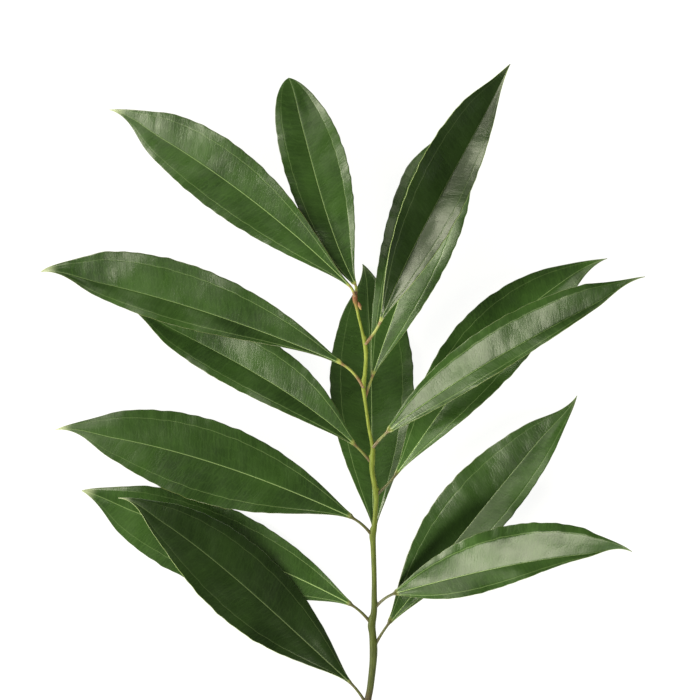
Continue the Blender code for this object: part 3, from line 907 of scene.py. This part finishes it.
# How light each leaf's green is next to the others, partly painted shade and light, how pale its tail ends,
# and how pale its margin is, partly a painted highlight where the edge catches the light
LOOKS_WITH_PAINTED_LIGHT = {
    "leaf_01": (0.45, 0.7, 0.9),
    "leaf_02": (1.15, 0.1, 0.2),
    "leaf_03": (0.95, 0.8, 0.2),
    "leaf_04": (1.1, 0.2, 0.6),
    "leaf_05": (0.85, 1.0, 0.2),
    "leaf_06": (0.95, 0.1, 0.2),
    "leaf_07": (1.3, 0.1, 0.2),
    "leaf_08": (0.9, 0.3, 0.2),
    "leaf_09": (1.1, 0.3, 0.5),
    "leaf_10": (1.3, 0.1, 0.6),
    "leaf_11": (0.85, 0.9, 0.2),
    "leaf_12": (0.58, 0.1, 1.0),
    "leaf_13": (0.88, 0.9, 0.2),
    "leaf_14": (1.0, 0.0, 0.2),
}


def take_place(mesh, node):
    """Shows the mesh in place of one solid of the frame."""
    piece = bpy.data.objects.new(mesh.name, mesh)
    bpy.context.scene.collection.objects.link(piece)
    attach(piece, "root")
    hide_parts(node)


def make_leaf(number, name, leaf):
    """The mesh of one leaf with both its skins."""
    rings, place, along = leaf_rings(leaf, number)
    grid = rings.shape[:2]
    kinds = (np.arange(grid[1]) >= len(ACROSS) - 1).astype(int)
    mesh = skin(name + "_blade", over_table(rings), kinds)
    give_values(mesh, "place", np.stack(place, -1), grid)
    # The look holds painted shade and light in its first number and a painted margin highlight in its third.
    give_values(mesh, "look", np.array(LOOKS_WITH_PAINTED_LIGHT[name]), grid)
    give_flat_map(mesh, along + PATTERN_SHIFT * number, place[1] * place[2], grid)
    mesh.materials.append(UPPER_SKIN)
    mesh.materials.append(LOWER_SKIN)
    return mesh


for number, (name, leaf) in enumerate(LEAVES.items(), start=1):
    take_place(make_leaf(number, name, leaf), name)
faces = sum(len(o.data.polygons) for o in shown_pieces())
print("leaves made, faces now", faces)

# %% [markdown]
# ## The stem
#
# The stem is this year's shoot: thin, smooth and yellow-green, with a slight bend and a thickening at
# each leaf, and a small bud in most of the angles. A tube along a smooth line is right for it, with the
# radius changing along the way. Its bark has fine lengthwise ribs and streaks.

# %% Buds and ribs on the stem
STEM_STEP = 0.35
STEM_SIDES = 28
# How far up the branch each small side bud sits, in millimetres
LEFT_BUDS = (9.3, 45.0, 83.2, 114.4, 146.6)
RIGHT_BUDS = (34.6, 51.2, 100.4, 165.2)
SIDE_BUD_HEIGHT = 0.45
SIDE_BUD_LENGTH = 1.5
RIB_COUNT = 7
RIB_HEIGHT = 0.02


def smooth_line(points, spacing):
    """A Catmull-Rom line through the points, with about this spacing."""
    points = np.asarray(points, float)
    ends = np.vstack([2 * points[0] - points[1], points, 2 * points[-1] - points[-2]])
    runs = []
    for a, b, c, d in zip(ends, ends[1:], ends[2:], ends[3:]):
        steps = max(1, round(np.linalg.norm(c[:2] - b[:2]) / spacing))
        t = (np.arange(steps) / steps)[:, None]
        squared = (2 * a - 5 * b + 4 * c - d) * t**2
        runs.append(0.5 * (2 * b + (c - a) * t + squared + (3 * b - a - 3 * c + d) * t**3))
    return np.vstack([*runs, points[-1:]])


def stem_rings():
    """Rings round the stem's line: its radius, plus the ribs, plus a bell-shaped bump for each bud."""
    line = smooth_line(STEM, STEM_STEP)
    radius = line[:, 2].copy()
    line[:, 2] = stem_height(line[:, 1])
    right, up = frames_along(line)
    angle = math.pi - (np.arange(STEM_SIDES) + 0.5) * 2 * math.pi / STEM_SIDES
    reach = np.repeat(radius[:, None], STEM_SIDES, axis=1)
    reach = reach + RIB_HEIGHT * np.cos(RIB_COUNT * angle)[None, :]
    for place, side in [(place, -1) for place in LEFT_BUDS] + [(place, 1) for place in RIGHT_BUDS]:
        facing = np.cos(angle) * side
        along = np.exp(-(((line[:, 1] - place) / (SIDE_BUD_LENGTH / 2)) ** 2))
        reach = reach + SIDE_BUD_HEIGHT * along[:, None] * np.clip(facing, 0, None)[None, :] ** 3
    x, y = reach * np.cos(angle), reach * np.sin(angle)
    return line[:, None] + x[..., None] * right[:, None] + y[..., None] * up[:, None]


STEM_RINGS = stem_rings()
print("the stem has", len(STEM_RINGS), "rings")

# %% The stem's bark
BARK_COLOURS = (
    (0.0, "#3d2c20"),
    (0.055, "#433823"),
    (0.085, "#424a1f"),
    (0.30, "#4b5522"),
    (0.50, "#66722c"),
    (0.80, "#84903c"),
    (0.955, "#8a9543"),
    (0.985, "#8a5a44"),
)
BARK_STREAK = "#b8bd96"
# Width, length and relief of a streak in millimetres
STREAK_WIDTH = 0.625
STREAK_LENGTH = 6.25
STREAK_RANGE = (0.35, 0.75)
STREAK_RELIEF = 0.05
BARK_IOR = 1.33


def stem_bark():
    """Young bark, a living green skin with a soft gloss. It is brown and olive towards the cut end, fresh
    yellow-green above, and pinkish brown at the very tip, with fine darker streaks along it."""
    material, tree, shader = new_material("young_green_bark")
    texture = add(tree, "ShaderNodeTexCoord")
    split = add(tree, "ShaderNodeSeparateXYZ", {"Vector": texture.outputs["Object"]})
    low, high = metres((0, 0, 0))[1], metres((0, STEM_LENGTH, 0))[1]
    place = add(tree, "ShaderNodeMapRange", ranged(split.outputs["Y"], float(low), float(high)))
    green = add(tree, "ShaderNodeValToRGB", {"Fac": place.outputs["Result"]}, stops=BARK_COLOURS)
    pace = 1 / (np.array((STREAK_WIDTH, STREAK_LENGTH, STREAK_WIDTH)) * MM)
    stretch = add(tree, "ShaderNodeMapping", {"Vector": texture.outputs["Object"], "Scale": tuple(pace)})
    noise = {"Vector": stretch.outputs["Vector"], "Scale": 1.0, "Detail": 3.0}
    streaks = add(tree, "ShaderNodeTexNoise", noise).outputs["Fac"]
    shown = add(tree, "ShaderNodeMapRange", ranged(streaks, *STREAK_RANGE)).outputs["Result"]
    layers = {0: shown, 6: green.outputs["Color"], 7: linear(BARK_STREAK)}
    mixed = add(tree, "ShaderNodeMix", layers, data_type="RGBA", blend_type="MULTIPLY")
    tree.links.new(mixed.outputs[2], shader.inputs["Base Color"])
    shader.inputs["Roughness"].default_value = 0.5
    shader.inputs["IOR"].default_value = BARK_IOR
    bump = add(tree, "ShaderNodeBump", {"Height": streaks, "Strength": 1.0, "Distance": STREAK_RELIEF * MM})
    tree.links.new(bump.outputs["Normal"], shader.inputs["Normal"])
    return material


stem_mesh = skin("stem_shoot", metres(STEM_RINGS))
stem_mesh.materials.append(stem_bark())
take_place(stem_mesh, "stem")
print("the stem has", len(stem_mesh.polygons), "faces")

# %% [markdown]
# ## The end bud
#
# Just under the top pair of leaves a tiny resting bud lies against the stem, wrapped in dry scales. It
# is a grain drawn out to a point, with the edges of its scales winding round it as low steps.

# %% Make the bud
END_BUD_CENTRE = (-2.8, 178.9, 17.2)
END_BUD_LENGTH = 3.8
END_BUD_RADIUS = 0.78
END_BUD_LEAN = 160.0
END_BUD_TAPER = 0.45
END_BUD_RINGS = 60
END_BUD_SIDES = 32
END_BUD_OPENING = 0.06
SCALE_TURNS = 3.0
SCALE_STEP = 0.07
SCALE_GRAIN = 0.4
SCALE_UNEVENNESS = 0.4
SCALE_COLOURS = ((0.15, "#a8985c"), (0.75, "#845a40"))


def bud_rings():
    """A grain along its own line: radius sqrt(1 - v^2), slimmer towards the tip, with a saw wave that
    winds round it for the scales' edges."""
    v = -np.cos(np.linspace(END_BUD_OPENING, math.pi - END_BUD_OPENING, END_BUD_RINGS))[:, None]
    angle = math.pi - (np.arange(END_BUD_SIDES) + 0.5) * 2 * math.pi / END_BUD_SIDES
    radius = END_BUD_RADIUS * np.sqrt(1 - v**2) * (1 - END_BUD_TAPER * np.clip(v, 0, None))
    saw = (SCALE_TURNS * (v + 1) / 2 + angle[None, :] / (2 * math.pi)) % 1.0
    radius = radius - SCALE_STEP * saw * np.sqrt(1 - v**2)
    lean = math.radians(END_BUD_LEAN)
    along = np.array((math.sin(lean), math.cos(lean), 0.0))
    right = np.array((math.cos(lean), -math.sin(lean), 0.0))
    up = np.array((0.0, 0.0, 1.0))
    middle = np.array(END_BUD_CENTRE) + v[..., None] * along * END_BUD_LENGTH / 2
    return middle + (radius * np.cos(angle))[..., None] * right + (radius * np.sin(angle))[..., None] * up


def bud_scales():
    """Dry bud scales: matt, pinkish brown where they sit on the stem and straw yellow at the point."""
    material, tree, shader = new_material("dry_bud_scales")
    texture = add(tree, "ShaderNodeTexCoord")
    split = add(tree, "ShaderNodeSeparateXYZ", {"Vector": texture.outputs["Object"]})
    middle = float(metres(END_BUD_CENTRE)[1])
    half = END_BUD_LENGTH / 2 * MM
    place = add(tree, "ShaderNodeMapRange", ranged(split.outputs["Y"], middle - half, middle + half))
    grain = {"Vector": texture.outputs["Object"], "Scale": 1 / (SCALE_GRAIN * MM), "Detail": 3.0}
    noise = add(tree, "ShaderNodeTexNoise", grain)
    uneven = {0: noise.outputs["Fac"], 1: SCALE_UNEVENNESS, 2: place.outputs["Result"]}
    shade = add(tree, MATH, uneven, operation="MULTIPLY_ADD").outputs[0]
    ramp = add(tree, "ShaderNodeValToRGB", {"Fac": shade}, stops=SCALE_COLOURS)
    tree.links.new(ramp.outputs["Color"], shader.inputs["Base Color"])
    shader.inputs["Roughness"].default_value = 0.6
    return material


bud_mesh = skin("terminal_bud_scales", metres(bud_rings()))
bud_mesh.materials.append(bud_scales())
take_place(bud_mesh, "terminal_bud")
print("the bud has", len(bud_mesh.polygons), "faces")

# %% [markdown]
# ## The table and the light
#
# The branch lies on a plain white table. A leaf of this kind is mostly a mirror for big lamps: its own
# green is dark, and what we see of its form is where it reflects a soft box. So the light is three soft
# boxes: a long one low on the left, one on the near side, and a weak one on the far side. A leaf that
# faces straight up reflects none of them and stays deep green, and one that leans towards a lamp turns
# pale. The table gives some light of its own, as a light table does, which keeps the shadows faint.

# %% Table
TABLE_SIZE = 6.0
TABLE_DROP = 0.3 * MM
TABLE_GLOW = 0.93
half = TABLE_SIZE / 2
corners = [(-half, -half, 0), (half, -half, 0), (half, half, 0), (-half, half, 0)]
floor_mesh = bpy.data.meshes.new("table")
floor_mesh.from_pydata(corners, [], [(0, 1, 2, 3)])
floor = bpy.data.objects.new("table", floor_mesh)
floor.location.z = -TABLE_DROP
bpy.context.scene.collection.objects.link(floor)
floor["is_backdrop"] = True
floor_material, _, floor_shader = new_material("white_table")
floor_shader.inputs["Base Color"].default_value = linear("#6a6a6a")
floor_shader.inputs["Roughness"].default_value = 0.9
floor_shader.inputs["Specular IOR Level"].default_value = 0.0
floor_shader.inputs["Emission Color"].default_value = linear("#ffffff")
floor_shader.inputs["Emission Strength"].default_value = TABLE_GLOW
floor_mesh.materials.append(floor_material)
print("the table is", TABLE_SIZE, "m wide")

# %% Lamps
LAMP_DISTANCE = 1.3
LAMP_COLOUR = "#fffde4"
ROOM_LIGHT = 0.1


def soft_box(name, azimuth, from_zenith, width, height, brightness):
    """A rectangular lamp aimed at the branch. azimuth is the compass direction it stands in, in degrees
    clockwise from the branch's tip, and brightness is its radiance."""
    lamp = bpy.data.lights.new(name, "AREA")
    lamp.shape = "RECTANGLE"
    lamp.size, lamp.size_y = height, width
    lamp.energy = brightness * math.pi * width * height
    lamp.color = linear(LAMP_COLOUR)[:3]
    stand = bpy.data.objects.new(name, lamp)
    turn, lean = math.radians(azimuth), math.radians(from_zenith)
    direction = np.array((math.sin(lean) * math.sin(turn), math.sin(lean) * math.cos(turn), math.cos(lean)))
    stand.location = direction * LAMP_DISTANCE
    stand.rotation_euler = (0.0, lean, math.pi / 2 - turn)
    bpy.context.scene.collection.objects.link(stand)


soft_box("left_box", azimuth=277, from_zenith=61, width=1.7, height=0.6, brightness=10.5)
soft_box("near_box", azimuth=165, from_zenith=50, width=0.9, height=0.75, brightness=9.6)
soft_box("far_box", azimuth=318, from_zenith=42, width=0.8, height=0.8, brightness=1.9)
world = bpy.data.worlds.new("studio")
world.use_nodes = True
room = world.node_tree.nodes["Background"]
room.inputs["Color"].default_value = linear(LAMP_COLOUR)
room.inputs["Strength"].default_value = ROOM_LIGHT
bpy.context.scene.world = world
bpy.context.scene.view_settings.view_transform = "Standard"
print("lamps:", len(bpy.data.lights))

# %% [markdown]
# ## The camera
#
# The branch is seen straight from above, from far away, so nothing is drawn larger for being nearer.
# 301 mm of the table fit across the picture.

# %% Camera
VIEW_WIDTH = 301.0 * MM
VIEW_MIDDLE = (-6.9, 160.0, 0.0)
CAMERA_HEIGHT = 3.0
CAMERA_REACH = 20.0
camera_data = bpy.data.cameras.new("camera")
camera_data.lens = camera_data.sensor_width * CAMERA_HEIGHT / VIEW_WIDTH
camera_data.clip_end = CAMERA_REACH
camera = bpy.data.objects.new("camera", camera_data)
camera.location = (*metres(VIEW_MIDDLE)[:2], CAMERA_HEIGHT)
bpy.context.scene.collection.objects.link(camera)
bpy.context.scene.camera = camera
print("lens", round(camera_data.lens), "mm")
